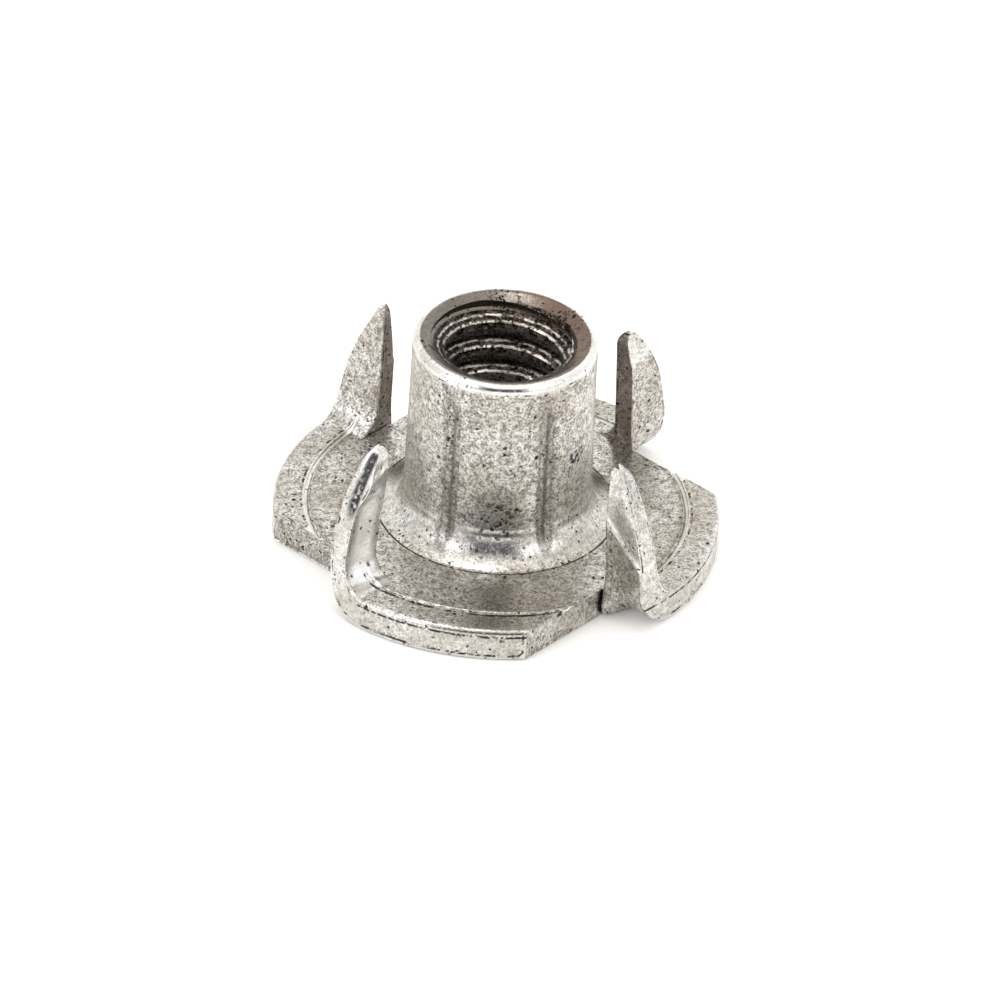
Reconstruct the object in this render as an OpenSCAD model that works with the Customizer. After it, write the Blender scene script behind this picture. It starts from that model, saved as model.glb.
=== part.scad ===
// Four-prong tee nut, pressed from one sheet: a round flange, a drawn and
// tapped barrel, and four prongs slit from the rim of the flange and folded up.
// Units are millimetres. The origin is on the barrel axis at the underside of
// the flange, and +Z runs up the barrel.

/* [Flange] */
// Diameter of the round flange
flange_d = 19.05; // [17:0.05:24]
// Thickness of the flange at its rim
flange_t = 1.4; // [1.1:0.05:1.9]
// Radius of the rolled top edge of the rim
rim_r = 0.22; // [0.1:0.02:0.4]
// Depth of the shallow dish pressed into the flange top
dish_depth = 0.08; // [0.04:0.02:0.2]
// Width of the raised band between the dish and the rim
dish_band = 1.4; // [0.8:0.05:1.8]

/* [Barrel] */
// Height of the barrel mouth above the flange underside
total_h = 9.95; // [8:0.05:16]
// Outside diameter of the barrel at its mouth
barrel_d = 7.84; // [7.5:0.02:9]
// How much wider the barrel is at its foot than at its mouth
barrel_taper = 0.26; // [0.16:0.02:0.5]
// Radius of the hollow fillet between the flange and the barrel
foot_r = 1.2; // [0.8:0.05:1.4]
// Number of shallow flutes pressed down the barrel
flute_count = 6; // [3:1:8]
// Radius of the tool that pressed each flute
flute_r = 1.1; // [0.7:0.05:1.4]
// Depth of each flute
flute_depth = 0.07; // [0.04:0.01:0.12]
// Length of the plain collar above the flutes
collar_h = 2.4; // [1.8:0.1:3]

/* [Bore] */
// Diameter over the thread crests, for 1/4 inch with 20 threads to the inch
bore_d = 5.1; // [4.9:0.02:5.3]
// Width of the rounded lip around the mouth
lip_w = 0.2; // [0.12:0.02:0.3]
// Slope of the countersink at the mouth, in degrees below level
sink_angle = 30; // [20:1:45]
// Radius of the rounded entry at the flange underside
entry_r = 0.9; // [0.4:0.05:1.1]

/* [Prongs] */
// Number of prongs
prong_count = 4; // [3, 4]
// Width of each prong at its foot, along the fold
prong_w = 2.2; // [1.8:0.05:2.5]
// Thickness of the folded prong
prong_t = 0.85; // [0.6:0.05:1.1]
// Inside radius of the fold
fold_r = 1.2; // [0.8:0.05:1.5]
// Distance from the middle of the slit's chord to the fold
fold_past = 0.8; // [0.4:0.05:1.1]
// Degrees by which the fold is turned from square across the slit
fold_skew = 4; // [0:0.5:8]
// Length each prong gains as it is pressed thinner than the flange
prong_draw = 0.85; // [0:0.05:1]
// Length trimmed from the sharp point of each prong
tip_trim = 0.4; // [0.3:0.05:0.8]
// Length of the bevel on the outer face of each tip
bevel_l = 2.4; // [1:0.1:3]
// Thickness left at the bevelled tip
tip_t = 0.4; // [0.3:0.05:0.55]

/* [Hidden] */
// Gap between a prong and the slit it was cut along
slit_gap = 0.06;
// Overlap that makes two joined shapes one solid
join = 0.05;
// Direction the first slit faces, seen from above
first_turn = -40.8;
// Direction of the first flute, seen from above
first_flute = -1.5;
// How far the fillet is sunk into the dish, which leaves a faint ring where they meet
foot_sink = 0.03;

flange_r = flange_d / 2;
bore_r = bore_d / 2;
slit_offset = flange_r - prong_w;
dish_z = flange_t - dish_depth;
dish_r = flange_r - dish_band;

// Barrel wall: its radius at the mouth and foot, and at any height between
mouth_r = barrel_d / 2;
wall_foot_r = mouth_r + barrel_taper / 2;
lip_z = total_h - lip_w;
function wall_r(z) = wall_foot_r + (mouth_r - wall_foot_r) * (z - dish_z) / (lip_z - dish_z);
foot_z = dish_z + foot_r - foot_sink;

// Countersink
sink_r = mouth_r - lip_w;
sink_depth = (sink_r - bore_r) * tan(sink_angle);

// Fold: its outside radius, and the length of sheet that the bend takes up
fold_out = fold_r + prong_t;
fold_arc = (fold_r + prong_t / 2) * PI / 2;
leg_z = flange_t + fold_r;

// Centre of the flange circle after the fold has stood it up with the prong
rim_u = -slit_offset * cos(fold_skew) - fold_past * sin(fold_skew);
rim_z = leg_z - fold_arc + prong_draw
      - slit_offset * sin(fold_skew) + fold_past * cos(fold_skew);

// Height of the sharp point, where the slit edge meets the flange circle
point_near = sin(fold_skew) * (slit_gap - rim_u) + cos(fold_skew) * (rim_z - flange_t);
point_off = cos(fold_skew) * (slit_gap - rim_u) - sin(fold_skew) * (rim_z - flange_t);
point_run = point_near + sqrt(flange_r * flange_r - point_off * point_off);
tip_z = flange_t + cos(fold_skew) * point_run - tip_trim;

$fn = 96;

// Half section of the flange, from the axis out to the rolled rim
module flange_section() {
    polygon([
        [0, 0],
        [flange_r, 0],
        [flange_r, flange_t - rim_r],
        [flange_r - rim_r, flange_t],
        [dish_r + dish_depth, flange_t],
        [dish_r, dish_z],
        [0, dish_z]
    ]);
    translate([flange_r - rim_r, flange_t - rim_r]) circle(rim_r);
}

// Half section of the barrel wall and its rounded lip
module barrel_section() {
    polygon([
        [0, 0],
        [wall_foot_r, 0],
        [wall_foot_r, dish_z],
        [mouth_r, lip_z],
        [mouth_r - lip_w, total_h],
        [0, total_h]
    ]);
    translate([mouth_r - lip_w, lip_z]) circle(lip_w);
}

// Half section of the hollow fillet at the foot of the barrel
module foot_section() {
    difference() {
        translate([wall_r(foot_z) - join, dish_z - join])
            square([foot_r + join, foot_z - dish_z + join]);
        translate([wall_r(foot_z) + foot_r, foot_z]) circle(foot_r);
    }
}

// Half section of everything the drill, tap and countersink take away
module bore_section() {
    translate([-join, -join]) square([bore_r + join, total_h + 2 * join]);
    polygon([
        [0, total_h - sink_depth],
        [bore_r, total_h - sink_depth],
        [sink_r, total_h],
        [sink_r, total_h + join],
        [0, total_h + join]
    ]);
    difference() {
        translate([bore_r - join, -join]) square(entry_r + join);
        translate([bore_r + entry_r, entry_r]) circle(entry_r);
    }
}

module drawn_body() {
    rotate_extrude() difference() {
        union() {
            flange_section();
            barrel_section();
            foot_section();
        }
        bore_section();
    }
}

// Round tool lying along the tapered wall, from the top of the fillet to the collar
module flute_tool() {
    high = total_h - collar_h;
    lean = atan((wall_r(foot_z) - wall_r(high)) / (high - foot_z));
    translate([wall_r(foot_z) - flute_depth + flute_r, 0, foot_z])
        rotate([0, -lean, 0]) cylinder(h = high - foot_z, r = flute_r);
}

// Moves to the end of a slit and turns so that +X points the way the prong
// was folded from, and +Y runs out along the fold to the rim
module at_fold() {
    translate([slit_offset, fold_past, 0]) rotate(fold_skew - 90) children();
}

// Opening left in the flange where a prong was folded out of it
module prong_window() {
    reach = flange_d;
    translate([0, 0, -join]) linear_extrude(flange_t + 2 * join) polygon([
        [slit_offset, fold_past],
        [slit_offset, -reach],
        [slit_offset + reach, -reach],
        [slit_offset + reach, fold_past + reach * tan(fold_skew)]
    ]);
}

// Side view of the folded sheet: flat, bend, leg and bevelled tip
module fold_section() {
    difference() {
        union() {
            translate([-join, 0]) square([2 * join, flange_t]);
            intersection() {
                translate([0, fold_out]) circle(fold_out);
                square(fold_out);
            }
            translate([0, fold_out]) square([fold_out, tip_z - fold_out]);
        }
        translate([0, leg_z]) circle(fold_r);
        translate([-2 * join, leg_z]) square([fold_r + 2 * join, tip_z]);
        polygon([
            [fold_out, tip_z - bevel_l],
            [fold_out + join, tip_z - bevel_l],
            [fold_out + join, tip_z + join],
            [fold_r + tip_t, tip_z + join],
            [fold_r + tip_t, tip_z]
        ]);
    }
}

// Face view of the prong: the straight slit edge and the arc that was the rim
module fin_outline() {
    function slit_u(z) = slit_gap - (z - flange_t) * tan(fold_skew);
    intersection() {
        translate([rim_u, rim_z]) circle(flange_r);
        polygon([
            [slit_u(0), 0],
            [prong_w * 2, 0],
            [prong_w * 2, tip_z],
            [slit_u(tip_z), tip_z]
        ]);
    }
}

module prong() {
    intersection() {
        at_fold() intersection() {
            translate([0, prong_w * 2, 0]) rotate([90, 0, 0])
                linear_extrude(prong_w * 3) fold_section();
            translate([-2 * join, 0, 0]) rotate([90, 0, 90])
                linear_extrude(fold_out + 4 * join) fin_outline();
        }
        cylinder(h = tip_z + join, r = flange_r);
    }
}

module tee_nut() {
    color([0.74, 0.73, 0.70]) union() {
        difference() {
            drawn_body();
            for (i = [0 : flute_count - 1])
                rotate(first_flute + i * 360 / flute_count) flute_tool();
            for (i = [0 : prong_count - 1])
                rotate(first_turn + i * 360 / prong_count) prong_window();
        }
        for (i = [0 : prong_count - 1])
            rotate(first_turn + i * 360 / prong_count) prong();
    }
}

tee_nut();
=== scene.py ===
# %% [markdown]
# A four-prong tee nut, built as a lesson
#
# A tee nut starts as a disc of sheet steel. A press draws the middle up into a barrel, cuts four slits in
# from the rim and folds the freed flaps up as prongs, and a tap cuts the thread. The cells below follow that
# order: spin the section, slit the rim, fold the prongs, flute the barrel, cut the thread, then finish the
# steel.

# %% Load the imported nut
import math
import bmesh
import bpy
from mathutils import Matrix, Vector, noise


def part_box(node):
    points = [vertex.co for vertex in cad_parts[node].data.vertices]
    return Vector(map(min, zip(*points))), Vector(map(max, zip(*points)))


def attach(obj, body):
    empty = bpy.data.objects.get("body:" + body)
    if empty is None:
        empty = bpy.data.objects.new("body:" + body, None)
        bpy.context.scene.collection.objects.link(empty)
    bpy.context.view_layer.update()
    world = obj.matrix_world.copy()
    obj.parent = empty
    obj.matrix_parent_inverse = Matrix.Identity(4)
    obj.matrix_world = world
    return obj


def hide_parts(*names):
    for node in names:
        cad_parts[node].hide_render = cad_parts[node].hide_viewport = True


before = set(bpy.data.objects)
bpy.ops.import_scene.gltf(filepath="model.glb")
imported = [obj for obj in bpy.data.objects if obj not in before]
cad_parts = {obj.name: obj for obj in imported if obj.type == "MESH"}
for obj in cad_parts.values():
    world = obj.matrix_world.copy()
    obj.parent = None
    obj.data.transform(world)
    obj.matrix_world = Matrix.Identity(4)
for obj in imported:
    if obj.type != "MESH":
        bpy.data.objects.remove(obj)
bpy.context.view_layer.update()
nut_low, nut_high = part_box("tee_nut")
MM = 0.001
print("packed nut, mm:", [round((high - low) / MM, 2) for low, high in zip(nut_low, nut_high)])

# %% [markdown]
# Driving sizes
#
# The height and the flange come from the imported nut, so the visible nut can't drift away from it. The rest
# are the sheet's own sizes: its thickness, the fold, the fillet, and a 1/4 inch thread with 20 turns to the
# inch. Everything is modelled in millimetres, because distances for welding points are easier to judge that
# way, and it is scaled to metres once at the end.

# %% Sizes of the pressing
TOTAL_H = (nut_high[2] - nut_low[2]) / MM
FLANGE_R = (nut_high[0] - nut_low[0]) / 2 / MM
SHEET = 1.4
DISH = 0.08
DISH_BAND = 1.4
DISH_R = FLANGE_R - DISH_BAND
# the step down into the dish: distances out from DISH_R and down from the sheet's face
DISH_STEP = ((0.08, 0.11), (-0.02, 0.13), (-0.08, 0.05), (-0.12, 0.03), (-0.2, DISH))
RIM_ROLL = 0.22
EDGE_BREAK = 0.05

MOUTH_R = 3.92
WALL_FOOT_R = 4.05
LIP = 0.32
FOOT_FILLET = 1.6
FOOT_SINK = 0.09
FOOT_Z = SHEET - DISH + FOOT_FILLET - FOOT_SINK
DRAW_LINE = 0.035
DRAW_LINE_Z = 2.62
DRAW_LINE_HALF = 0.08

CREST_R = 2.57
ROOT_R = 3.175
PITCH = 1.27
SINK_ANGLE = 30
ENTRY_R = 0.9
THREAD_CLEAR = 0.01

# how many prongs, how many columns of faces, and the radius at which the flat faces are split
PRONGS = 4
COLUMNS = 192
FACE_SPLIT_R = 7.2
SECTOR = 2 * math.pi / PRONGS
UP = Vector((0, 0, 1))
print("flange:", round(2 * FLANGE_R, 2), "mm across; nut:", round(TOTAL_H, 2), "mm high")

# %% [markdown]
# The section
#
# Half a section of the nut, from the thread's foot round the outside to the thread's mouth, is one chain of
# points. Round stretches come from one arc helper, so a radius is a number and not a list of points.

# %% Draw the half section
def arc(centre, radius, start, end, steps):
    """Points on an arc in the section plane, from one angle to another in degrees."""
    turns = [math.radians(start + (end - start) * i / steps) for i in range(steps + 1)]
    return [(centre[0] + radius * math.cos(a), centre[1] + radius * math.sin(a)) for a in turns]


def between(a, b, steps):
    """Evenly spaced points after a, up to and including b."""
    return [tuple(p + (q - p) * i / steps for p, q in zip(a, b)) for i in range(1, steps + 1)]


def wall_r(z):
    """Radius of the tapered barrel wall at a height."""
    foot, lip = SHEET - DISH, TOTAL_H - LIP
    return WALL_FOOT_R + (MOUTH_R - WALL_FOOT_R) * (z - foot) / (lip - foot)


def entry_r(z):
    """Radius of the rounded entry under the flange at a height."""
    if z >= ENTRY_R:
        return 0.0
    return CREST_R + ENTRY_R - math.sqrt(ENTRY_R ** 2 - (ENTRY_R - max(z, 0.0)) ** 2)


LIP_BEAD = arc((MOUTH_R - LIP, TOTAL_H - LIP), LIP, 0, 90 + SINK_ANGLE, 8)
SINK_RIM_R, SINK_RIM_Z = LIP_BEAD[-1]
SINK_SLOPE = math.tan(math.radians(SINK_ANGLE))


def sink_r(z):
    """Radius of the countersink at a height."""
    return SINK_RIM_R - (SINK_RIM_Z - z) / SINK_SLOPE


THREAD_EDGE_R = ROOT_R + THREAD_CLEAR
THREAD_TOP = SINK_RIM_Z - (SINK_RIM_R - THREAD_EDGE_R) * SINK_SLOPE
THREAD_FOOT = ENTRY_R - math.sqrt(ENTRY_R ** 2 - (CREST_R + ENTRY_R - THREAD_EDGE_R) ** 2)

section = [(THREAD_EDGE_R, THREAD_FOOT)]
foot_angle = math.degrees(math.atan2(THREAD_FOOT - ENTRY_R, THREAD_EDGE_R - CREST_R - ENTRY_R))
section += arc((CREST_R + ENTRY_R, ENTRY_R), ENTRY_R, foot_angle, -90, 3)[1:]
section += between(section[-1], (FACE_SPLIT_R, 0), 6)
section += between(section[-1], (FLANGE_R - EDGE_BREAK, 0), 9)
section += between(section[-1], (FLANGE_R, EDGE_BREAK), 1)
section += between(section[-1], (FLANGE_R, SHEET - RIM_ROLL), 4)
section += arc((FLANGE_R - RIM_ROLL, SHEET - RIM_ROLL), RIM_ROLL, 0, 90, 5)[1:]
section += between(section[-1], (DISH_R + 0.1, SHEET), 4)
for step_out, step_down in DISH_STEP:
    section.append((DISH_R + step_out, SHEET - step_down))
foot_centre = (wall_r(FOOT_Z) + FOOT_FILLET, FOOT_Z)
foot_low = 270 - math.degrees(math.acos((FOOT_Z - SHEET + DISH) / FOOT_FILLET))
foot = arc(foot_centre, FOOT_FILLET, foot_low, 180, 20)
section += between(section[-1], (FACE_SPLIT_R, SHEET - DISH), 3)
section += between(section[-1], foot[0], 8)
for r, z in foot[1:]:
    line = DRAW_LINE * math.exp(-((z - DRAW_LINE_Z) / DRAW_LINE_HALF) ** 2)
    section.append((r + line, z))
section += between(foot[-1], (MOUTH_R, TOTAL_H - LIP), 34)
section += LIP_BEAD[1:]
section += between(section[-1], (THREAD_EDGE_R, THREAD_TOP), 2)
print("section points:", len(section), "thread from", round(THREAD_FOOT, 3), "to", round(THREAD_TOP, 3))

# %% [markdown]
# One quarter of the disc
#
# The slits repeat every quarter turn, so the section is spun through a quarter only. The quarter is placed
# with its slit in the middle: then the cut never crosses the seams where the quarters are later welded.

# %% Spin a quarter
def put_in_order(bm):
    """Sort a mesh by place, since an operator may lay its parts down in another order on another run."""
    by_place = (
        (bm.verts, lambda vert: tuple(vert.co)),
        (bm.edges, lambda edge: sorted(vert.index for vert in edge.verts)),
        (bm.faces, lambda face: sorted(vert.index for vert in face.verts)),
    )
    for parts, place in by_place:
        for rank, part in enumerate(sorted(parts, key=place)):
            part.index = rank
        parts.sort()


def spin_chain(bm, points, start, angle, steps, rise=0.0):
    """Spin a chain of section points about the barrel axis, rising a little at each step."""
    verts = [bm.verts.new((r * math.cos(start), r * math.sin(start), z)) for r, z in points]
    edges = [bm.edges.new(pair) for pair in zip(verts, verts[1:])]
    bmesh.ops.spin(
        bm, geom=verts + edges, cent=(0, 0, 0), axis=UP, dvec=(0, 0, rise), angle=angle, steps=steps,
        space=Matrix.Identity(4), use_merge=False, use_normal_flip=False, use_duplicate=False,
    )
    put_in_order(bm)


QUARTER_START = math.radians(-62)
quarter = bmesh.new()
spin_chain(quarter, section, QUARTER_START, SECTOR, COLUMNS // PRONGS)
print("quarter:", len(quarter.verts), "points,", len(quarter.faces), "faces")

# %% [markdown]
# The slit
#
# A shear cuts one straight line in from the rim, and the flap beyond it is later folded up about a line that
# starts where the slit ends. Two bisecting planes, the slit and the fold, split the faces they cross. The
# faces between them are the flap, and they are taken away; the cut wall is then filled and its edges broken
# a little.

# %% Cut the slit and the fold line
PRONG_W = 2.2
FOLD_PAST = 0.8
FOLD_SKEW = math.radians(4)
SLIT_X = FLANGE_R - PRONG_W
slit_end = Vector((SLIT_X, FOLD_PAST, 0))
fold_out = Vector((math.sin(FOLD_SKEW), -math.cos(FOLD_SKEW), 0))
fold_along = Vector((math.cos(FOLD_SKEW), math.sin(FOLD_SKEW), 0))
NEAR = 0.012
SLIT_REACH = 0.5
FOLD_REACH = 0.6


def faces_where(bm, test):
    """Faces whose middle passes a test."""
    return [face for face in bm.faces if test(face.calc_center_median())]


def bisect(bm, faces, point, normal):
    """Split the faces that a plane crosses."""
    edges = dict.fromkeys(edge for face in faces for edge in face.edges)
    verts = dict.fromkeys(vert for face in faces for vert in face.verts)
    bmesh.ops.bisect_plane(bm, geom=[*verts, *edges, *faces], dist=NEAR, plane_co=point, plane_no=normal)


def past_fold(p):
    """Distance of a point beyond the fold line, towards the flap."""
    return (p - slit_end).dot(fold_out)


near_slit = faces_where(
    quarter, lambda c: c.x > SLIT_X - SLIT_REACH and c.y < FOLD_PAST + 0.25 and c.z < SHEET + 0.1
)
bisect(quarter, near_slit, slit_end, Vector((1, 0, 0)))
near_fold = faces_where(quarter, lambda c: c.x > SLIT_X - 0.002 and abs(past_fold(c)) < FOLD_REACH)
bisect(quarter, near_fold, slit_end, fold_out)
flap = faces_where(quarter, lambda c: c.x > SLIT_X and past_fold(c) > 0)
bmesh.ops.delete(quarter, geom=flap, context="FACES")
print("flap faces cut away:", len(flap))


# %% Square up the cut and fill its wall
def on_slit(vert):
    """Whether a point lies on the slit's plane."""
    return abs(vert.co.x - SLIT_X) < NEAR and vert.co.y < FOLD_PAST + NEAR


def on_fold(vert):
    """Whether a point lies on the fold's plane."""
    return abs(past_fold(vert.co)) < NEAR and vert.co.x > SLIT_X - NEAR


def open_edges(bm, test):
    """Open edges of the mesh whose two points both pass a test."""
    return [edge for edge in bm.edges if edge.is_boundary and all(test(vert) for vert in edge.verts)]


for vert in quarter.verts:
    if vert.is_boundary and on_slit(vert):
        vert.co.x = SLIT_X
cut_edges = open_edges(quarter, on_slit)
cut_verts = list(dict.fromkeys(vert for edge in cut_edges for vert in edge.verts))
corners = sorted((vert for vert in cut_verts if on_fold(vert)), key=lambda vert: vert.co.z)
corner_edge = quarter.edges.new(corners)
wall = bmesh.ops.contextual_create(quarter, geom=cut_edges + [corner_edge])["faces"]
print("cut wall:", len(cut_edges), "edges,", len(wall), "face, corners", len(corners))

# %% Break the edges of the cut wall
inner_wall = bmesh.ops.inset_region(quarter, faces=wall, thickness=EDGE_BREAK, depth=0, use_even_offset=True)
for vert in cut_verts:
    if vert not in corners:
        vert.co.x -= EDGE_BREAK * 0.8
print("edge break faces:", len(inner_wall["faces"]))

# %% [markdown]
# The prong
#
# The flap is bent up through a right angle, then stands as a fin. The open loop left at the fold is the
# fin's own section, so the bend is a quarter spin of that loop about the fold, and the leg is the loop
# extruded upwards. The sweep is plain at first. It is shaped after the quarter has been repeated, because
# the press left each of the four prongs with its own height and its own hammered tip.

# %% Sweep one prong
FOLD_R = 1.2
LEG_Z = SHEET + FOLD_R
LEG_RAW = 5.0
BEND_STEPS = 12
LEG_STEPS = 30
RIM_SHINE = 0.35
FILLET_GLOSS_AND_HIGHLIGHT = 0.35
LIP_HIGHLIGHT_WIDTH = 0.24
RIM_WORN = 0.1
PRONG_RIM_WORN = 0.12
CORNER_CUTS = 5

bmesh.ops.subdivide_edges(quarter, edges=[corner_edge], cuts=CORNER_CUTS, use_grid_fill=False)
prong_mark = quarter.verts.layers.int.new("prong")
# one layer lightens the colour: real burnish on the rims, painted highlight and painted reflection on the
# lip, fillet, facets and one prong
burnish_highlight_mark = quarter.verts.layers.float.new("burnish_and_highlight")
fold_edges = open_edges(quarter, on_fold)
fold_edges += [
    edge for edge in quarter.edges
    if edge not in fold_edges and all(on_fold(vert) and on_slit(vert) for vert in edge.verts)
]
fold_verts = list(dict.fromkeys(vert for edge in fold_edges for vert in edge.verts))
FOLD_W = max(fold_along.dot(vert.co - slit_end) for vert in fold_verts)
before = set(quarter.verts)
bend = bmesh.ops.spin(
    quarter, geom=fold_verts + fold_edges, cent=slit_end + UP * LEG_Z, axis=-fold_along, dvec=(0, 0, 0),
    angle=math.pi / 2, steps=BEND_STEPS, space=Matrix.Identity(4), use_merge=False, use_normal_flip=False,
    use_duplicate=False,
)["geom_last"]
print("fold loop:", len(fold_verts), "points;", round(FOLD_W, 3), "mm wide")
for _ in range(LEG_STEPS):
    loop = [part for part in bend if isinstance(part, bmesh.types.BMEdge)]
    bend = bmesh.ops.extrude_edge_only(quarter, edges=loop)["geom"]
    bend = [part for part in bend if not isinstance(part, bmesh.types.BMFace)]
    rising = [part for part in bend if isinstance(part, bmesh.types.BMVert)]
    bmesh.ops.translate(quarter, verts=rising, vec=UP * LEG_RAW / LEG_STEPS)
top_loop = [part for part in bend if isinstance(part, bmesh.types.BMEdge)]
cap = bmesh.ops.contextual_create(quarter, geom=top_loop)["faces"]
bmesh.ops.poke(quarter, faces=cap)
for vert in quarter.verts:
    vert[prong_mark] = vert not in before
    if vert[prong_mark]:
        vert[burnish_highlight_mark] = RIM_SHINE * ((vert.co - slit_end).dot(fold_along) > PRONG_W - PRONG_RIM_WORN)
    else:
        flat_r = vert.co.xy.length
        # the lip bead's colour is lightened to the full: a painted highlight
        on_lip = vert.co.z > TOTAL_H - LIP and flat_r > MOUTH_R - LIP_HIGHLIGHT_WIDTH
        # the fillet is made glossier, and its colour lighter as a painted highlight
        on_fillet = SHEET < vert.co.z < FOOT_Z and flat_r < WALL_FOOT_R + FOOT_FILLET
        vert[burnish_highlight_mark] = max(on_lip, RIM_SHINE * (flat_r > FLANGE_R - RIM_WORN), FILLET_GLOSS_AND_HIGHLIGHT * on_fillet)
print("prong points:", len(quarter.verts) - len(before))

# %% [markdown]
# Four quarters
#
# Spinning with duplicates lays copies of the quarter round the axis, and welding joins them into one skin.

# %% Repeat the quarter
QUARTER_WELD = 0.002
whole_quarter = quarter.verts[:] + quarter.edges[:] + quarter.faces[:]
bmesh.ops.spin(
    quarter, geom=whole_quarter, cent=(0, 0, 0), axis=UP, dvec=(0, 0, 0), angle=2 * math.pi - SECTOR,
    steps=PRONGS - 1, space=Matrix.Identity(4), use_merge=False, use_normal_flip=False, use_duplicate=True,
)
put_in_order(quarter)
bmesh.ops.remove_doubles(quarter, verts=quarter.verts, dist=QUARTER_WELD)
nut = quarter
print("four quarters:", len(nut.verts), "points,", len(nut.faces), "faces")

# %% [markdown]
# Shaping the prongs
#
# Each point of the sweep knows how far along the fold it lies, how deep in the sheet and how high. From
# those three it is moved to its place on the real fin. One edge is the straight slit, the other is the arc
# that was the rim, so the fin narrows to a point. The sheet thins as it is drawn round the bend, a blow on
# the outer face leaves a flat facet near the tip, and the tip itself is rounded.

# %% Sizes that the prongs share
ARC_CENTRE_U = -SLIT_X * math.cos(FOLD_SKEW) - FOLD_PAST * math.sin(FOLD_SKEW)
ARC_CENTRE_Z = 1.18
FIN_LEAST_W = 0.1

SLIT_T = 0.88
ARC_T = 1.12
TIP_T = 0.78
TIP_THIN = 2.5
TIP_ROUND = 0.6
TIP_LEAST_W = 0.15
TIP_LEAST_T = 0.4

CORNER_SAG = 0.75
CORNER_ACROSS = 0.4
FACET_STEP = 0.06
FACET_RIM = 0.1
ARC_FROM = 0.9
ARC_ROUND = 0.4
GROOVE_REACH = 3.6
GROOVE_FADE = 1.6
GROOVE_HALF = 0.36
DISH_FADE = 1.6
SLIM_ACROSS = 0.8
SLIM_BELOW = 1.5
SLIM_FADE = 1.2

FACET_POLISH_AND_REFLECTION = 0.45
ARC_PAINTED_SHEEN = 0.6
INNER_SHARE = 0.3
print("arc centre:", round(ARC_CENTRE_U, 3), "mm along the fold")

# %% How each prong came out of the press
# tip: height of the tip. width: its least width lower down. out, slit, arc: how far the fin, its slit edge
# and its arc edge stand from the pattern. lean: degrees the slit edge leans inwards. facet: length of the
# struck facet at the slit and at the arc. cut: the facet's depth. inside: it is on the inner face. groove:
# depth of the groove torn along the arc edge. painted_sheen: how much the colour of its inner face and arc
# edge is lightened, a painted reflection. slim: how much thinner its arc edge is below the tip.
PRONG_MAKES = {
    "front right": dict(
        tip=7.36, width=0.42, out=0.0, slit=0.0, arc=0.0, lean=4,
        facet=(2.5, 4.1), cut=0.18, inside=False, groove=0.03, painted_sheen=0.0, slim=0.0,
    ),
    "back right": dict(
        tip=7.16, width=0.6, out=-0.15, slit=-0.15, arc=-0.12, lean=3,
        facet=(1.5, 1.0), cut=0.2, inside=False, groove=0.0, painted_sheen=0.0, slim=0.0,
    ),
    "back left": dict(
        tip=7.68, width=0.5, out=0.0, slit=-0.05, arc=0.12, lean=1,
        facet=(3.0, 3.2), cut=0.36, inside=False, groove=0.0, painted_sheen=0.0, slim=0.0,
    ),
    "front left": dict(
        tip=7.34, width=0.5, out=-0.22, slit=0.2, arc=-0.42, lean=9.5,
        facet=(0.8, 1.2), cut=0.1, inside=True, groove=0.14, painted_sheen=1.0, slim=0.3,
    ),
}
print("prong heights, mm:", [make["tip"] for make in PRONG_MAKES.values()])


def blend(a, b, t):
    """The value a share t of the way from a to b."""
    return a + (b - a) * t


def ease(t):
    """Smooth ramp from 0 to 1."""
    t = min(max(t, 0.0), 1.0)
    return t * t * (3 - 2 * t)


# %% Where a point of the sweep lies on the fin
def sweep_place(co):
    """Share across the fin, depth in the sheet, turn round the bend, and share of the way up the leg."""
    rel = co - slit_end
    out, along, drop = rel.dot(fold_out), rel.dot(fold_along), LEG_Z - co.z
    turn = math.pi / 2 if drop < 0 else math.atan2(out, drop)
    depth = (out if drop < 0 else math.hypot(out, drop)) - FOLD_R
    return along / FOLD_W, depth, turn, max(-drop, 0.0) / LEG_RAW


def fin_edges(z, bent, make):
    """Where the fin's slit edge and arc edge stand at a height, measured along the fold."""
    settle = ease(bent)
    slit = -max(z - SHEET, 0.0) * math.tan(math.radians(make["lean"])) + make["slit"] * settle
    reach = FLANGE_R ** 2 - (z - ARC_CENTRE_Z) ** 2
    arc_edge = ARC_CENTRE_U + math.sqrt(max(reach, 0.0)) + make["arc"] * settle
    least = make["width"] * ease((z - LEG_Z) / (make["tip"] - LEG_Z - 1))
    return slit, max(arc_edge, slit + FIN_LEAST_W, slit + math.hypot(least, arc_edge - slit) * (least > 0))


def fin_thickness(across, bent, to_tip):
    """Thickness of the sheet, which the bend and the tip have drawn thinner."""
    leg_t = blend(SLIT_T, ARC_T, ease(across))
    leg_t = blend(leg_t, TIP_T, ease(1 - to_tip / TIP_THIN))
    return blend(SHEET, leg_t, ease(bent))


def sheet_share(depth, across, bent, to_tip, make):
    """Share of the way through the sheet, from its inner face, which loses the dish as it bends."""
    share = depth / SHEET
    if depth < 2 * DISH:
        share *= 1 - ease(bent * DISH_FADE)
    slim = make["slim"] * ease(across / SLIM_ACROSS) * ease((to_tip - SLIM_BELOW) / SLIM_FADE) * ease(bent)
    return 1 - (1 - share) * (1 - slim)


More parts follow.
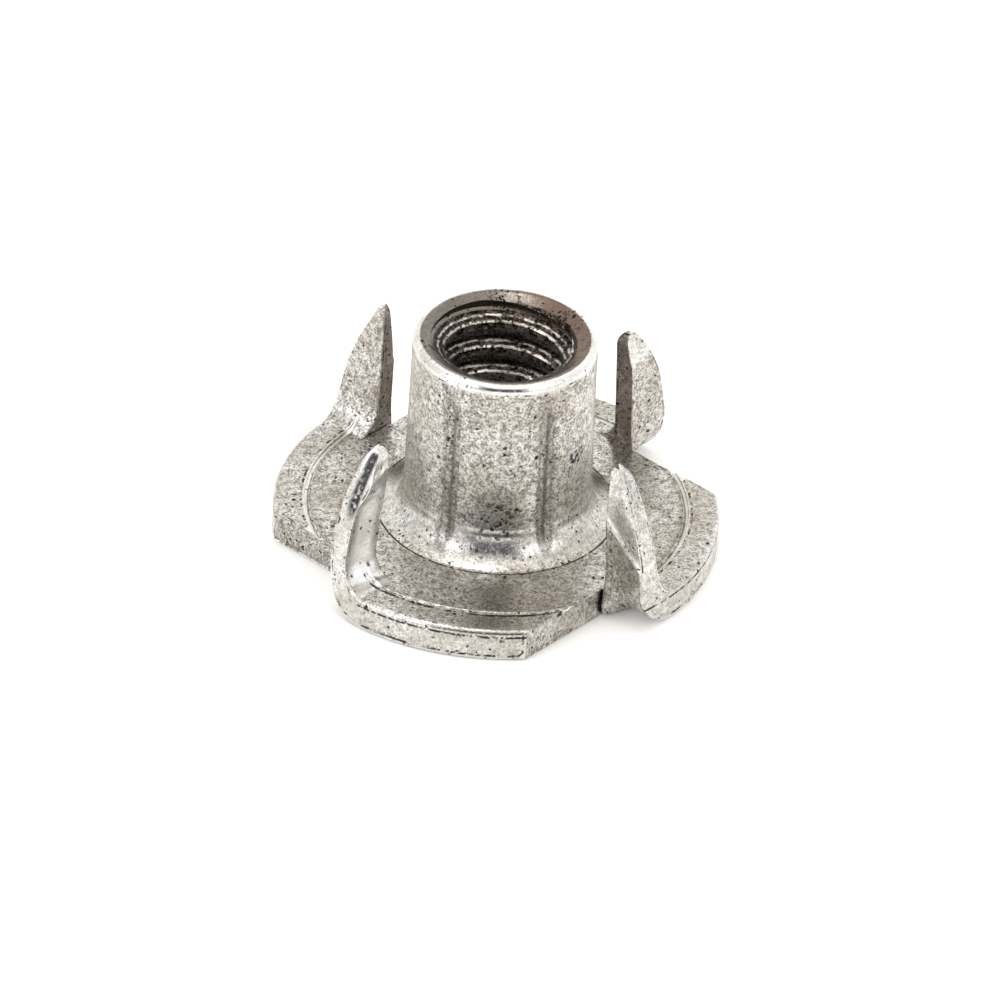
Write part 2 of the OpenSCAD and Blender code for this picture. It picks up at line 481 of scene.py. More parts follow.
# %% What the press did to each fin
def strike(share, across, thickness, to_tip, make):
    """Flatten the struck facet, and say how much polish and painted light lighten its colour there."""
    length = blend(*make["facet"], across)
    struck = share < 0.5 if make["inside"] else share > 0.5
    # the facet's colour is lightened: polish and painted reflection
    polish_and_painted_light = FACET_POLISH_AND_REFLECTION * (struck and to_tip < length)
    # a painted highlight: the edge of the facet is lightened to full white
    if struck and abs(to_tip - length) < FACET_RIM:
        polish_and_painted_light = 1.0
    # painted reflection: the arc edge and the inner face of this prong are lightened in colour
    if across > ARC_FROM:
        polish_and_painted_light = max(polish_and_painted_light, ARC_PAINTED_SHEEN * make["painted_sheen"])
    elif share < INNER_SHARE:
        polish_and_painted_light = max(polish_and_painted_light, make["painted_sheen"])
    if struck and to_tip < length:
        cut = (FACET_STEP + make["cut"] * (1 - to_tip / length)) / thickness
        share = max(share, cut) if make["inside"] else min(share, 1 - cut)
    return share, polish_and_painted_light


def round_tip(across, share, to_tip):
    """Draw the end of the fin together, and say how much of its size is left."""
    if to_tip >= TIP_ROUND:
        return across, share, 1.0
    left = math.sqrt(max(1 - (1 - to_tip / TIP_ROUND) ** 2, 0.0))
    return 0.5 + (across - 0.5) * max(left, TIP_LEAST_W), 0.5 + (share - 0.5) * max(left, TIP_LEAST_T), left


def wear_arc_edge(across, share, fin_w, to_tip, make):
    """How far the arc edge is rounded at its corners, and how deep the groove torn along its middle is."""
    if across <= ARC_FROM:
        return 0.0, 0.0
    groove = make["groove"] * ease((GROOVE_REACH - to_tip) / GROOVE_FADE)
    rounding = ARC_ROUND * fin_w * (across - ARC_FROM) * abs(2 * share - 1) ** 3
    return rounding, groove * ease(1 - abs(share - 0.5) / GROOVE_HALF)


def round_bend(turn, across, share, thickness):
    """Distance out and height of a point in the bend, whose outside is squarer at the slit's corner."""
    square = 1 + CORNER_SAG * ease(1 - across / CORNER_ACROSS) * math.sin(2 * turn)
    bulge = Vector(((FOLD_R + thickness) * math.sin(turn), -LEG_Z * math.cos(turn))) * square ** 0.5
    outer_out, outer_z = min(bulge.x, FOLD_R + thickness), max(bulge.y + LEG_Z, 0.0)
    inner_out, inner_z = FOLD_R * math.sin(turn), LEG_Z - FOLD_R * math.cos(turn)
    return blend(inner_out, outer_out, share), blend(inner_z, outer_z, share)


# %% Shape the four prongs
def shape_prong_point(co, make):
    """Place of a point of the sweep on the finished prong, how much polish and painted light lighten it, and
    how torn the steel is there.
    """
    across, depth, turn, climb = sweep_place(co)
    bent = turn / (math.pi / 2)
    rise = climb * (make["tip"] - LEG_Z)
    height = blend(SHEET, LEG_Z, bent) + rise
    to_tip = make["tip"] - height
    slit_u, arc_u = fin_edges(height, bent, make)
    thickness = fin_thickness(across, bent, to_tip)
    share = sheet_share(depth, across, bent, to_tip, make)
    share, polish_and_painted_light = strike(share, across, thickness, to_tip, make)
    across, share, left = round_tip(across, share, to_tip)
    rounding, torn = 0.0, 0.0
    if bent >= 1:
        rounding, torn = wear_arc_edge(across, share, arc_u - slit_u, to_tip, make)
        torn *= left
    along = blend(slit_u, arc_u, across) - rounding - torn
    out, z = round_bend(turn, across, share, thickness)
    moved = slit_end + fold_out * (out + make["out"] * ease(bent)) + fold_along * along
    past_rim = math.hypot(moved.x, moved.y) - FLANGE_R
    if past_rim > 0:
        moved -= fold_along * past_rim
    moved.z = z + rise
    return moved, polish_and_painted_light, torn


def on_first_fin(co):
    """Whether a point of a fin belongs to the one that was swept first."""
    return co.x > SLIT_X - SLIT_REACH and abs(co.y) < PRONG_W + FOLD_PAST


SLIT_FACE = 0.02
prong_mark = nut.verts.layers.int["prong"]
shear_mark = nut.verts.layers.float.new("sheared")
torn_mark = nut.verts.layers.float.new("torn")
for order, (name, make) in enumerate(PRONG_MAKES.items()):
    turn_back = Matrix.Rotation(-order * SECTOR, 3, "Z")
    turn_on = turn_back.inverted()
    fin = [vert for vert in nut.verts if vert[prong_mark] and on_first_fin(turn_back @ vert.co)]
    for vert in fin:
        plain = turn_back @ vert.co
        vert[shear_mark] = (plain - slit_end).dot(fold_along) < SLIT_FACE
        moved, polish_and_painted_light, vert[torn_mark] = shape_prong_point(plain, make)
        vert[burnish_highlight_mark] = max(vert[burnish_highlight_mark], polish_and_painted_light)
        vert.co = turn_on @ moved
    print(name, "prong:", len(fin), "points, top", round(max(vert.co.z for vert in fin), 2))

# %% [markdown]
# The thread
#
# A tap leaves a helix: one tooth section carried round the bore while it climbs one pitch a turn. A chain of
# teeth as tall as the bore is spun once round while it rises one pitch. Its end then lands exactly on its
# start, one tooth higher, and welding closes it. Points that stick out past the countersink or the rounded
# entry are pressed back onto them, which trims the first and last threads as the real tools do.

# %% Cut the thread
# TOOTH gives shares of the pitch and radii, up one tooth from the start of its crest; CREST_MIDDLE is the
# share at which the crest is placed
FIRST_TURN = math.radians(-40.8)
CREST_BELOW_MOUTH = 1.14
CREST_BREAK = 0.05
TOOTH = (
    (0.0, CREST_R), (0.22, CREST_R), (0.27, CREST_R + CREST_BREAK),
    (0.5625, ROOT_R), (0.6875, ROOT_R), (0.95, CREST_R + CREST_BREAK), (1.0, CREST_R),
)
TOOTH_STEPS = 2
CREST_MIDDLE = 0.125
THREAD_WELD = 0.004
SLIVER = 0.001

# at the back of the bore, the highest crest lies CREST_BELOW_MOUTH under the mouth
turned = (math.pi / 2 - FIRST_TURN - QUARTER_START) / (2 * math.pi)
crest_z = TOTAL_H - CREST_BELOW_MOUTH - turned * PITCH - CREST_MIDDLE * PITCH
turns_down = math.ceil(crest_z / PITCH) + 1
teeth = turns_down + math.ceil((TOTAL_H - crest_z) / PITCH) + 1
chain = [(CREST_R, crest_z - turns_down * PITCH)]
for tooth in range(teeth):
    base = crest_z + (tooth - turns_down) * PITCH
    for (_, r), (z_share, r_next) in zip(TOOTH, TOOTH[1:]):
        chain += between(chain[-1], (r_next, base + z_share * PITCH), TOOTH_STEPS)
thread = bmesh.new()
spin_chain(thread, chain, QUARTER_START, 2 * math.pi, COLUMNS, rise=PITCH / COLUMNS)
for vert in thread.verts:
    z = min(max(vert.co.z, THREAD_FOOT), THREAD_TOP)
    flat_r = math.hypot(vert.co.x, vert.co.y)
    r = min(max(flat_r, entry_r(z), sink_r(z)), THREAD_EDGE_R)
    if z != vert.co.z:
        r = THREAD_EDGE_R
    vert.co.x *= r / flat_r
    vert.co.y *= r / flat_r
    vert.co.z = z
bmesh.ops.remove_doubles(thread, verts=thread.verts, dist=THREAD_WELD)
thread_mesh = bpy.data.meshes.new("thread")
thread.to_mesh(thread_mesh)
nut.from_mesh(thread_mesh)
bpy.data.meshes.remove(thread_mesh)
thread.free()
put_in_order(nut)
bmesh.ops.remove_doubles(nut, verts=nut.verts, dist=THREAD_WELD)
put_in_order(nut)
bmesh.ops.dissolve_degenerate(nut, edges=nut.edges, dist=SLIVER)
print("thread turns:", round((THREAD_TOP - THREAD_FOOT) / PITCH, 2), "open edges:",
      sum(edge.is_boundary for edge in nut.edges), "of", len(nut.edges))

# %% [markdown]
# Flutes and hand-made unevenness
#
# Six shallow flutes run down the barrel, left by the drawing punch, and no pressed face is truly flat. Both
# are moves of points that are already there: a smooth hollow for each flute, and a very slow, very small
# noise.

# %% Press the flutes and the unevenness
# each flute starts COLLAR below the mouth, and WAVE_FADE keeps the outer faces at their true size
FLUTES = 6
FLUTE_DEPTH = 0.065
FLUTE_HALF = math.radians(2.7)
FIRST_FLUTE = math.radians(0.5)
COLLAR = 1.0
FLUTE_FOOT = 0.2
FLUTE_RISE = 0.8
WALL_SKIN = 0.1
WAVE = 0.012
WAVE_SIZE = 1.6
WAVE_FADE = 0.3
BORE_SKIN = 0.8

flute_mark = nut.verts.layers.float.new("flute")
bmesh.ops.rotate(nut, verts=nut.verts, cent=(0, 0, 0), matrix=Matrix.Rotation(FIRST_TURN, 3, "Z"))
for vert in nut.verts:
    co = vert.co
    flat_r = math.hypot(co.x, co.y)
    wall = wall_r(co.z)
    if co.z > SHEET + WALL_SKIN and wall - WALL_SKIN < flat_r < wall + FOOT_FILLET * 0.8:
        angle = math.atan2(co.y, co.x) - FIRST_FLUTE
        spacing = 2 * math.pi / FLUTES
        off = abs((angle + spacing / 2) % spacing - spacing / 2)
        along = ease((TOTAL_H - COLLAR - co.z) / COLLAR) * ease((co.z - SHEET - FLUTE_FOOT) / FLUTE_RISE)
        vert[flute_mark] = along * math.exp(-(off / FLUTE_HALF) ** 2)
        hollow = FLUTE_DEPTH * vert[flute_mark]
        co.x *= 1 - hollow / flat_r
        co.y *= 1 - hollow / flat_r
    if flat_r > CREST_R + BORE_SKIN:
        push = noise.noise(co / WAVE_SIZE) * WAVE
        inward = min(1.0, (FLANGE_R - flat_r) / WAVE_FADE, co.z / WAVE_FADE, (TOTAL_H - co.z) / WAVE_FADE)
        vert.co += Vector((co.x / flat_r, co.y / flat_r, 1)) * push * max(inward, 0.0)
print("flutes:", FLUTES, "each", FLUTE_DEPTH, "mm deep")

# %% [markdown]
# Closing the nut
#
# The skin is turned to metres, its normals are made to point outwards, and edges sharper than the press
# would leave round are marked sharp so the smooth shading doesn't smear across them.

# %% Finish the mesh
SHARP = math.radians(38)
# a cut wall is one face with many corners, so its points are marked as sheared, and never as a ridge
WALL_CORNERS = 12
WALL_SHEAR = 0.2
shear_mark = nut.verts.layers.float["sheared"]
bmesh.ops.scale(nut, verts=nut.verts, vec=(MM, MM, MM))
bmesh.ops.recalc_face_normals(nut, faces=nut.faces)
ridge_mark = nut.verts.layers.float.new("ridge")
for edge in nut.edges:
    edge.smooth = edge.is_boundary or edge.calc_face_angle(0) < SHARP
    for vert in edge.verts if not edge.smooth else ():
        cut_wall = max(len(face.verts) for face in vert.link_faces) > WALL_CORNERS
        if cut_wall:
            vert[shear_mark] = WALL_SHEAR
        elif vert.co.xy.length > (ROOT_R + 0.1) * MM:
            vert[ridge_mark] = 1.0
for face in nut.faces:
    face.smooth = True
nut_mesh = bpy.data.meshes.new("pressed_tee_nut")
nut.to_mesh(nut_mesh)
nut.free()
pressed_nut = bpy.data.objects.new("pressed_tee_nut", nut_mesh)
bpy.context.scene.collection.objects.link(pressed_nut)
triangles = sum(len(face.vertices) - 2 for face in nut_mesh.polygons)
print("nut faces:", len(nut_mesh.polygons), "triangles:", triangles)

# %% [markdown]
# The steel
#
# Small stainless pressings are tumbled with ceramic chips, which dulls the sheet to a soft grey shine,
# rounds its edges and leaves fine dents and dark pits where scale was trapped. Every layer of that is noise
# in the nut's own coordinates, with its size worked out from millimetres, so it stays on the steel when the
# nut is turned. One helper adds any node.

# %% Colours and a node helper
def linear(hex_code):
    """Turn an sRGB hex colour into the linear colour that a shader expects."""
    parts = [int(hex_code[i:i + 2], 16) / 255 for i in (1, 3, 5)]
    return tuple(p / 12.92 if p <= 0.04045 else ((p + 0.055) / 1.055) ** 2.4 for p in parts) + (1.0,)


def per_mm(size):
    """Pattern scale that repeats about once in a size given in millimetres."""
    return 1.0 / (size * MM)


def add(tree, kind, settings=(), links=(), out=0):
    """Add a node, set its properties or sockets, link its inputs, and return one of its outputs."""
    node = tree.nodes.new("ShaderNode" + kind)
    for name, value in dict(settings).items():
        if isinstance(name, str) and hasattr(node, name):
            setattr(node, name, value)
        else:
            node.inputs[name].default_value = value
    for name, source in dict(links).items():
        tree.links.new(source, node.inputs[name])
    return node.outputs[out] if node.outputs else node


# %% Tumbled stainless steel: noise
# Sheet stainless dulled by tumbling: a broken, cloudy sheen instead of a mirror, with dark pits and warm
# stains. The real grain is finer than the 0.1 mm used here, and is drawn coarser so that it can be seen.
TIMES = {"operation": "MULTIPLY"}
PLUS = {"operation": "ADD"}
LARGER = {"operation": "MAXIMUM"}
WARP = 0.22
# size in mm, detail and roughness of: clouds, mottle, grain, stain, patchy, dashes
NOISES = ((1.5, 3, 0.6), (0.28, 4, 0.65), (0.1, 3, 0.7), (2.6, 2, 0.5), (0.9, 2, 0.5), (0.45, 4, 0.8))
steel = bpy.data.materials.new("tumbled_stainless_steel")
steel.use_nodes = True
tree = steel.node_tree
tree.nodes.clear()
coords = add(tree, "TexCoord", out="Object")
clouds, mottle, grain, stain, patchy, dashes = [
    add(tree, "TexNoise", {"Scale": per_mm(size), "Detail": detail, "Roughness": rough}, {"Vector": coords})
    for size, detail, rough in NOISES
]
drift = add(tree, "TexNoise", {"Scale": per_mm(0.15), "Detail": 3}, {"Vector": coords}, out="Color")
warped = add(tree, "VectorMath", {"operation": "MULTIPLY_ADD", 1: (WARP * MM,) * 3}, {0: drift, 2: coords})
print("noise layers:", len(NOISES) + 1)

# %% [markdown]
# Where the steel differs
#
# A surface of revolution is easy to zone: the distance from the axis and the height say whether a point is
# in the bore, on the countersink, on the barrel or on the flange. What can't be told from those two, such as
# the sheared edges and the flutes, was stored on the points while the mesh was shaped, and is read as an
# attribute.

# %% Tumbled stainless steel: zones
across_x, across_y, height_z = [
    add(tree, "SeparateXYZ", {}, {"Vector": coords}, out=axis) for axis in ("X", "Y", "Z")
]
level = add(tree, "CombineXYZ", {}, {"X": across_x, "Y": across_y})
flat_r = add(tree, "VectorMath", {"operation": "LENGTH"}, {0: level}, out="Value")
flute, sheared, burnish_and_highlight, torn, ridge = [
    add(tree, "Attribute", {"attribute_name": layer}, out="Fac")
    for layer in ("flute", "sheared", "burnish_and_highlight", "torn", "ridge")
]


def band(value, low, high, soft=0.03):
    """1 where a value in metres lies between two sizes in millimetres, with soft ends."""
    rise = {"From Min": (low - soft) * MM, "From Max": low * MM}
    fall = {"From Min": (high + soft) * MM, "From Max": high * MM}
    start = add(tree, "MapRange", rise, {"Value": value})
    return add(tree, "Math", TIMES, {0: start, 1: add(tree, "MapRange", fall, {"Value": value})})


def broken(mask, source, share, soft=0.05):
    """Keep a share of a mask, where a noise runs high."""
    keep = {"From Min": 1 - share, "From Max": 1 - share + soft}
    return add(tree, "Math", TIMES, {0: mask, 1: add(tree, "MapRange", keep, {"Value": source})})


# inside this radius the bore is painted dark: painted shade over dark, oily steel
BORE_EDGE_R = 3.03
RUST_FROM = 0.3
RUST_TO = 1.8
in_bore = band(flat_r, 0.0, BORE_EDGE_R, 0.05)
jagged_r = add(tree, "Math", {"operation": "MULTIPLY_ADD", 1: WARP * MM}, {0: mottle, 2: flat_r})
# painted highlights on the two sides of each thread crest, mm from the axis
CREST_HIGHLIGHTS = ((CREST_R + 0.11, CREST_R + 0.17), (CREST_R + 0.36, CREST_R + 0.41))
sink_top = band(height_z, TOTAL_H - 1.1, TOTAL_H + 1)
countersink = add(tree, "Math", TIMES, {0: sink_top, 1: band(flat_r, 3.0, SINK_RIM_R + 0.16)})
on_rim = band(flat_r, FLANGE_R - 0.08, FLANGE_R + 1)
on_barrel = band(flat_r, MOUTH_R - 0.2, WALL_FOOT_R)
on_flange = band(height_z, 1.18, 1.46)
rust_reach = {"From Min": RUST_FROM * MM, "From Max": RUST_TO * MM}
rust_side = add(tree, "MapRange", rust_reach, {"Value": across_x})
rust_side = add(tree, "Math", TIMES, {0: countersink, 1: rust_side})
print("zones: bore, countersink, barrel, flange and rim")

# %% [markdown]
# Pits, and dark lines of dirt and painted shade
#
# Trapped scale leaves dark pits. Each layer of them is a pattern of cells in which only some cells hold a
# pit, and a slow noise gathers them into fields. Thin dark lines are laid too: round the rim, round the
# dish, below the lip and beside every sheared edge. The one round the front of the dish is painted shade
# for the shade in the dish's groove, and the one at the fillet's foot is painted shade and dirt. They are
# narrow bands, broken into dashes by a finer noise.

# %% Tumbled stainless steel: pits and lines
def pit_layer(spacing, share, size):
    """Dark pits: some of the cells of a pattern hold one."""
    cells = {"Scale": per_mm(spacing)}
    distance = add(tree, "TexVoronoi", cells, {"Vector": warped}, out="Distance")
    cell_colour = add(tree, "TexVoronoi", cells, {"Vector": warped}, out="Color")
    pick = add(tree, "SeparateColor", {}, {"Color": cell_colour})
    reach = add(tree, "MapRange", {"From Min": share, "From Max": 1.0, "To Max": size}, {"Value": pick})
    inside = add(tree, "Math", {"operation": "SUBTRACT"}, {0: reach, 1: distance})
    return add(tree, "MapRange", {"From Min": -0.04, "From Max": 0.05}, {"Value": inside})


pits_dirt_and_shade = broken(pit_layer(0.34, 0.35, 0.3), clouds, 0.52, 0.08)
pits_dirt_and_shade = add(tree, "Math", LARGER, {0: pits_dirt_and_shade, 1: broken(pit_layer(0.17, 0.25, 0.38), patchy, 0.5, 0.08)})
crowded = pit_layer(0.2, 0.0, 0.62)
# where pits crowd together: the middle of each patch and its radius, mm
CROWDED_PATCHES = (
    ((0.1, -4.15, 3.3), 1.7), ((3.3, -2.2, 5.6), 0.9), ((0.0, 3.4, 9.9), 1.0), ((3.0, 1.9, 9.9), 1.0),
    ((-0.5, -4.3, 2.05), 0.5), ((0.7, -4.25, 2.05), 0.5), ((-5.2, 4.0, 1.4), 0.9),
)
for centre, radius in CROWDED_PATCHES:
    middle = tuple(c * MM for c in centre)
    away = add(tree, "VectorMath", {"operation": "DISTANCE", 1: middle}, {0: warped}, out="Value")
    near = add(tree, "MapRange", {"From Min": radius * MM, "From Max": radius * 0.35 * MM}, {"Value": away})
    gathered = add(tree, "Math", TIMES, {0: crowded, 1: near})
    pits_dirt_and_shade = add(tree, "Math", LARGER, {0: pits_dirt_and_shade, 1: gathered})

sheared_pits = add(tree, "MapRange", {"From Min": 0.1, "From Max": 0.2}, {"Value": sheared})
sheared_pits = add(tree, "Math", TIMES, {0: broken(sheared_pits, mottle, 0.48), 1: crowded})
pits_dirt_and_shade = add(tree, "Math", LARGER, {0: pits_dirt_and_shade, 1: sheared_pits})

front_flange = add(tree, "MapRange", {"From Min": -3.5 * MM, "From Max": -6 * MM}, {"Value": across_y})
front_flange = add(tree, "Math", TIMES, {0: on_flange, 1: front_flange})

# each line: the zone it lies in, the value it follows, its two sides in mm, and the share of it that is left
DIRT_AND_SHADE_LINES = (
    (on_rim, height_z, 1.08, 1.16, 0.55),
    (on_rim, height_z, 0.12, 0.3, 0.38),
    (on_barrel, height_z, 9.52, 9.57, 0.45),
    # painted shade: this line stands for the shade in the groove at the front of the dish
    (front_flange, flat_r, DISH_R + 0.12, DISH_R + 0.22, 0.56),
    # painted shade and dirt at the fillet's foot
    (on_flange, flat_r, foot[0][0] + 0.03, foot[0][0] + 0.08, 0.62),
)
for zone, value, low, high, share in DIRT_AND_SHADE_LINES:
    line = broken(band(value, low, high), dashes, share)
    pits_dirt_and_shade = add(tree, "Math", LARGER, {0: pits_dirt_and_shade, 1: add(tree, "Math", TIMES, {0: zone, 1: line})})
# ridge runs from 0 to 1 and not in metres, so its band is given in thousandths
beside_ridge = broken(band(ridge, 400, 640, 100), dashes, 0.5)
pits_dirt_and_shade = add(tree, "Math", LARGER, {0: pits_dirt_and_shade, 1: beside_ridge})
torn_depth = add(tree, "MapRange", {"From Min": 0.02, "From Max": 0.08}, {"Value": torn})
pits_dirt_and_shade = add(tree, "Math", LARGER, {0: pits_dirt_and_shade, 1: broken(torn_depth, mottle, 0.68, 0.16)})
print("pit patches:", len(CROWDED_PATCHES), "tool lines:", len(DIRT_AND_SHADE_LINES))

# %% [markdown]
# Colour, shine and relief
#
# The colour is laid in coats. The pale steel comes first, then lighter steel. On the rims, where chips rub
# most, this is real burnish. On the lip bead, the fillet, the struck facets and one prong's faces it is
# painted highlight and painted reflection. Then come stains, the flutes' hollows darkened as painted shade,
# the brown of a sheared edge, the bore darkened as painted shade with painted highlights on its crests, and
# the pits last. Roughness and relief follow the same noise, so a dull patch is dull in every way. Steel is
# metallic all over, which is set on the shader itself.

# %% Tumbled stainless steel: the steel's own colour
MIX = {"data_type": "RGBA"}
soft_mottle = add(tree, "MapRange", {"To Max": 0.4}, {"Value": mottle})
fine = add(tree, "Math", {"operation": "MULTIPLY_ADD", 1: 0.6}, {0: grain, 2: soft_mottle})
speckle = add(tree, "MapRange", {"From Min": 0.42, "From Max": 0.58}, {"Value": fine})
steel_tones = {**MIX, 6: linear("#7B766F"), 7: linear("#E6E4E0")}
colour = add(tree, "Mix", steel_tones, {0: speckle}, out=2)

# each coat: what it follows, the values at which it starts and is full, its share when full, and its colour
COATS = (
    # lighter steel: real burnish on the rims, painted highlight and painted reflection everywhere else the
    # layer is set
    (burnish_and_highlight, 0, 1, 0.75, "#F6F6F5"),
    (ridge, 0.7, 0.95, 0.7, "#F6F5F2"),
    (stain, 0.45, 0.7, 0.4, "#8E816C"),
    (countersink, 0, 1, 0.85, "#6A625B"),
    (rust_side, 0, 1, 0.45, "#6A4A32"),
    # painted shade in the flutes' hollows
    (flute, 0.2, 0.9, 0.62, "#655F59"),
    (sheared, 0, 1, 0.6, "#6E5C56"),
)
for value, low, high, most, hex_code in COATS:
    share = add(tree, "MapRange", {"From Min": low, "From Max": high, "To Max": most}, {"Value": value})
    colour = add(tree, "Mix", {**MIX, 7: linear(hex_code)}, {0: share, 6: colour}, out=2)
print("coats over the steel:", len(COATS))

# %% Tumbled stainless steel: bore with painted shade and highlights, and pits
bore_speckle = add(tree, "MapRange", {"From Min": 0.47, "From Max": 0.6}, {"Value": fine})
bore_oil_and_shade_tones = {**MIX, 6: linear("#161111"), 7: linear("#6A5F57")}
bore_oil_and_shade = add(tree, "Mix", bore_oil_and_shade_tones, {0: bore_speckle}, out=2)
for low, high in CREST_HIGHLIGHTS:
    crest_highlight = broken(band(jagged_r, low, high), dashes, 0.58, 0.12)
    bore_oil_and_shade = add(tree, "Mix", {**MIX, 7: linear("#D8D2CA")}, {0: crest_highlight, 6: bore_oil_and_shade}, out=2)
colour = add(tree, "Mix", MIX, {0: in_bore, 6: colour, 7: bore_oil_and_shade}, out=2)
pit_share = add(tree, "MapRange", {"To Max": 0.92}, {"Value": pits_dirt_and_shade})
colour = add(tree, "Mix", {**MIX, 7: linear("#120E0C")}, {0: pit_share, 6: colour}, out=2)
print("bright lines on the thread:", len(CREST_HIGHLIGHTS))

# %% Tumbled stainless steel: shine and relief
sheen = {"From Min": 0.35, "From Max": 0.65, "To Min": 0.36, "To Max": 0.22}
roughness = add(tree, "MapRange", sheen, {"Value": mottle})
for zone, change in ((pits_dirt_and_shade, 0.3), (burnish_and_highlight, -0.12), (in_bore, 0.08)):
    roughness = add(tree, "Math", {"operation": "MULTIPLY_ADD", 1: change}, {0: zone, 2: roughness})
dents, grit = [
    add(tree, "MapRange", {"To Max": height}, {"Value": source})
    for source, height in ((mottle, 0.45), (grain, 0.4))
]
relief = add(tree, "Math", PLUS, {0: dents, 1: grit})
relief = add(tree, "Math", {"operation": "SUBTRACT"}, {0: relief, 1: pits_dirt_and_shade})
normal = add(tree, "Bump", {"Strength": 0.55, "Distance": 0.03 * MM}, {"Height": relief})
surface = {"Base Color": colour, "Roughness": roughness, "Normal": normal}
shader = add(tree, "BsdfPrincipled", {"Metallic": 1.0}, surface)
add(tree, "OutputMaterial", {}, {"Surface": shader})
nut_mesh.materials.append(steel)
print("steel nodes:", len(tree.nodes))

# %% [markdown]
# The floor
#
# The nut stands on a sheet of matte white paper, which lightens every wall that leans over it. The paper
# lies a hair below the nut, and it is clear from below, so that the underside can be looked at as well.

# %% Floor
FLOOR_HALF = 1.5
FLOOR_DROP = 0.05
floor_bm = bmesh.new()
bmesh.ops.create_grid(floor_bm, x_segments=1, y_segments=1, size=FLOOR_HALF)
bmesh.ops.translate(floor_bm, verts=floor_bm.verts, vec=-UP * FLOOR_DROP * MM)
floor_mesh = bpy.data.meshes.new("studio_floor")
floor_bm.to_mesh(floor_mesh)
floor_bm.free()
floor = bpy.data.objects.new("studio_floor", floor_mesh)
bpy.context.scene.collection.objects.link(floor)

# Matte paper: no shine at all, and a little light of its own, which stands for the light that comes
# through it.
paper = bpy.data.materials.new("matte_white_paper")
paper.use_nodes = True
sheet_tree = paper.node_tree
sheet_tree.nodes.clear()
paper_look = {
    "Base Color": linear("#F2F1EF"), "Roughness": 0.9,
    "Emission Color": (1, 1, 1, 1), "Emission Strength": 0.14,
}
paper_top = add(sheet_tree, "BsdfPrincipled", paper_look)
seen_below = add(sheet_tree, "NewGeometry", out="Backfacing")
clear = add(sheet_tree, "BsdfTransparent")
one_sided = add(sheet_tree, "MixShader", {}, {0: seen_below, 1: paper_top, 2: clear})
add(sheet_tree, "OutputMaterial", {}, {"Surface": one_sided})
floor_mesh.materials.append(paper)
print("floor:", 2 * FLOOR_HALF, "m square")

# %% [markdown]
# The light
#
# Bare metal shows the room more than itself, so the room is drawn first: pale walls, a brighter ceiling, a
# dark gap in front, where a person at the bench would stand, and a bright panel on either side of that gap.
# A softbox above and a low strip in front only add the small highlights.

# %% Room
world = bpy.data.worlds.new("studio_air")
world.use_nodes = True
air = world.node_tree
direction = add(air, "TexCoord", out="Generated")
head_x, head_y, head_z = [
    add(air, "SeparateXYZ", {}, {"Vector": direction}, out=axis) for axis in ("X", "Y", "Z")
]
aside = add(air, "Math", {"operation": "ABSOLUTE"}, {0: head_x})
WALL_LIGHT = (1.08, 1.07, 1.05, 1)
# each part of the room: its light, and the values between which it fades in, one row for each direction
ROOM_PARTS = (
    ((0.07, 0.08, 0.1, 1), ((head_y, -0.16, -0.42), (aside, 0.52, 0.36))),
    ((3.2, 3.2, 3.25, 1), ((head_y, -0.16, -0.3), (aside, 0.44, 0.54), (head_z, 0.3, 0.45))),
    ((1.27, 1.26, 1.23, 1), ((head_y, 0.35, 0.6),)),
    ((1.35, 1.31, 1.24, 1), ((head_z, 0.66, 0.88),)),
)
room = None
for light, limits in ROOM_PARTS:
    share = None
    for value, low, high in limits:
        reach = add(air, "MapRange", {"From Min": low, "From Max": high}, {"Value": value})
        share = reach if share is None else add(air, "Math", TIMES, {0: share, 1: reach})
    under = {} if room is None else {6: room}
    room = add(air, "Mix", {**MIX, 6: WALL_LIGHT, 7: light}, {0: share, **under}, out=2)
air.links.new(room, air.nodes["Background"].inputs["Color"])
bpy.context.scene.world = world
print("room parts:", len(ROOM_PARTS))


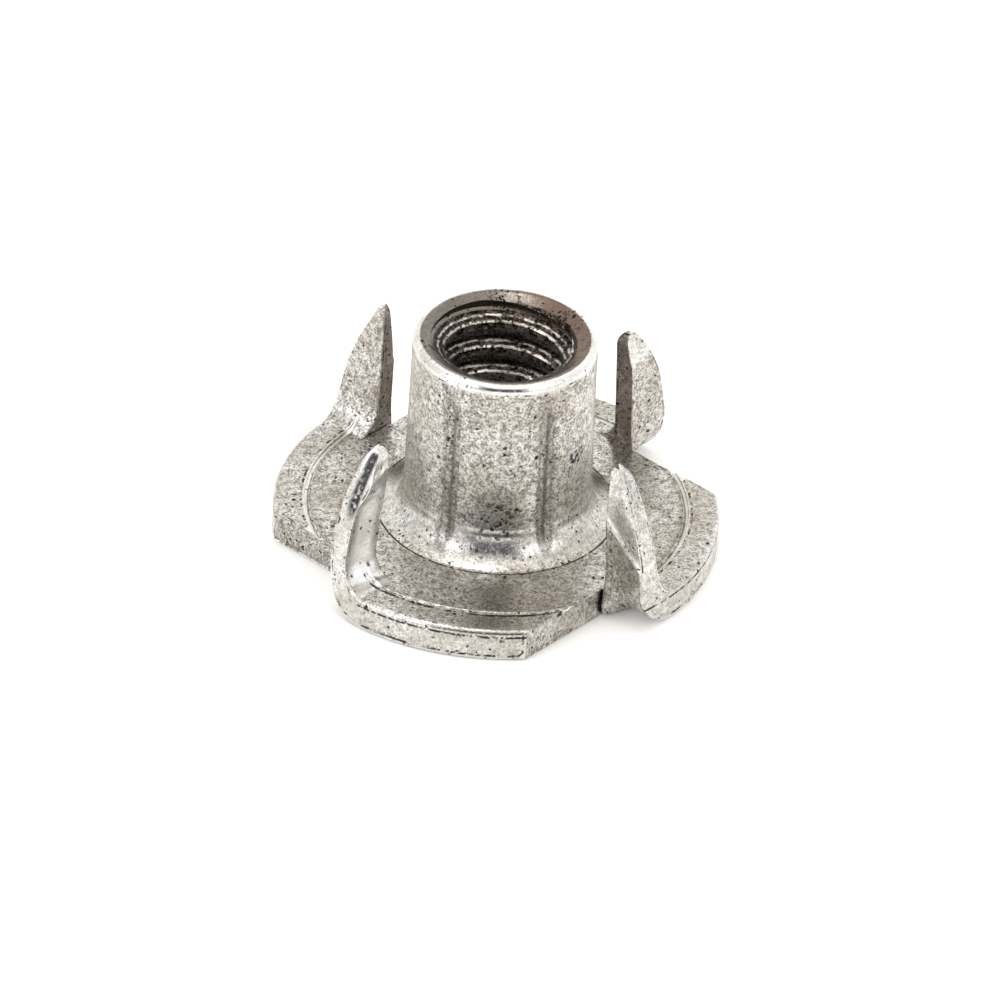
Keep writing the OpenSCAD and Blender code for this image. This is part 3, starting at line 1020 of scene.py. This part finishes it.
# %% Lamps
def soft_light(name, place, size, radiance):
    """An area light that faces the nut; its power follows from how bright its face should look."""
    data = bpy.data.lights.new(name, "AREA")
    data.shape = "RECTANGLE"
    data.size, data.size_y = size
    data.energy = radiance * math.pi * size[0] * size[1]
    lamp = bpy.data.objects.new(name, data)
    bpy.context.scene.collection.objects.link(lamp)
    lamp.location = place
    lamp.rotation_euler = (-Vector(place)).to_track_quat("-Z", "Y").to_euler()
    return lamp


lamps = [
    soft_light("overhead_softbox", (-0.06, 0.02, 0.5), (0.16, 0.12), 5.0),
    soft_light("front_strip", (0.0, -0.7, 0.06), (0.5, 0.03), 3.0),
]
print("lamps, W:", [round(lamp.data.energy, 3) for lamp in lamps])

# %% [markdown]
# The camera
#
# A small part is looked at from well back through a long lens, so its far side looks nearly as large as its
# near side. The camera looks down at about 35 degrees and is rolled by about 3, and its frame is built from
# three axes: forwards, sideways and up.

# %% Camera
# the two angles in radians, the distance and the aim in mm, the lens in mm on a 36 mm sensor
CAMERA_LIFT = 0.60611
CAMERA_ROLL = 0.05621
CAMERA_DISTANCE = 430.11
LENS = 362.2
SENSOR = 36
AIM = Vector((0.145, 0.743, 1.073))
eye = Vector((0, -math.cos(CAMERA_LIFT), math.sin(CAMERA_LIFT))) * CAMERA_DISTANCE
look = (AIM - eye).normalized()
side = look.cross(UP).normalized()
lift = side.cross(look)
cam_x = side * math.cos(CAMERA_ROLL) + lift * math.sin(CAMERA_ROLL)
cam_y = lift * math.cos(CAMERA_ROLL) - side * math.sin(CAMERA_ROLL)
cam_data = bpy.data.cameras.new("bench_camera")
cam_data.lens = LENS
cam_data.sensor_width = SENSOR
cam_data.clip_start = 0.01
camera = bpy.data.objects.new("bench_camera", cam_data)
bpy.context.scene.collection.objects.link(camera)
turn = Matrix((cam_x, cam_y, -look)).transposed()
camera.matrix_world = Matrix.Translation(eye * MM) @ turn.to_4x4()
bpy.context.scene.camera = camera
bpy.context.scene.view_settings.view_transform = "Standard"
print("camera looks down", round(math.degrees(CAMERA_LIFT), 1), "degrees")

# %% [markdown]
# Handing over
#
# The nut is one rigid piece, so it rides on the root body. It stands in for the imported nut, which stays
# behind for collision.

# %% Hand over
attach(pressed_nut, "root")
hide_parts("tee_nut")
